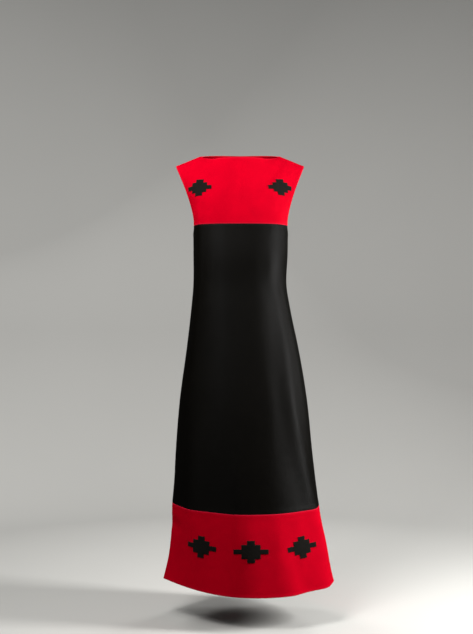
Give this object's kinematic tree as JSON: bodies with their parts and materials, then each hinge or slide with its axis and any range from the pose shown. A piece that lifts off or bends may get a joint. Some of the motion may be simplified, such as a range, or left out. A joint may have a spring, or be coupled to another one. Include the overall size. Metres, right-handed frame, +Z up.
{
  "type": "sleeveless a-line maxi dress",
  "caption": "Sleeveless floor-length A-line dress, hollow as worn, with a red yoke and hem band on a black body, stepped diamond patches and a centre back zip.",
  "frame": {"origin": "midway between the neck ends of the two shoulder seams, on the cloth's underside, where the wearer's shoulders hold the dress", "axes": "+Z up, the front faces -Y, and +X is the viewer's right when the front is looked at"},
  "size_m": [0.5533, 0.3955, 1.4007],
  "materials": {
    "red_wool": "matte double-knit wool, lightly felted",
    "black_wool": "matte double-knit wool, lightly felted",
    "black_tape": "woven zip tape",
    "zip_metal": "nickel plated zip hardware"
  },
  "bodies": {
    "dress": {"yoke_front": "red_wool", "yoke_back_left": "red_wool", "yoke_back_right": "red_wool", "body_front": "black_wool", "body_back_left": "black_wool", "body_back_right": "black_wool", "hem_band_front": "red_wool", "hem_band_back": "red_wool", "diamond_yoke_left": "black_wool", "diamond_yoke_right": "black_wool", "diamond_band_left": "black_wool", "diamond_band_centre": "black_wool", "diamond_band_right": "black_wool", "zip_tape_left": "black_tape", "zip_tape_right": "black_tape", "zip_slider": "zip_metal"},
    "pull": {"zip_pull": "zip_metal"}
  },
  "joints": [
    {"name": "pull_hinge", "type": "hinge", "parent": "dress", "child": "pull", "pos_m": [0.00018, 0.06493, -0.00569], "axis": [1, 0, 0], "range_deg": [0, 150]}
  ]
}
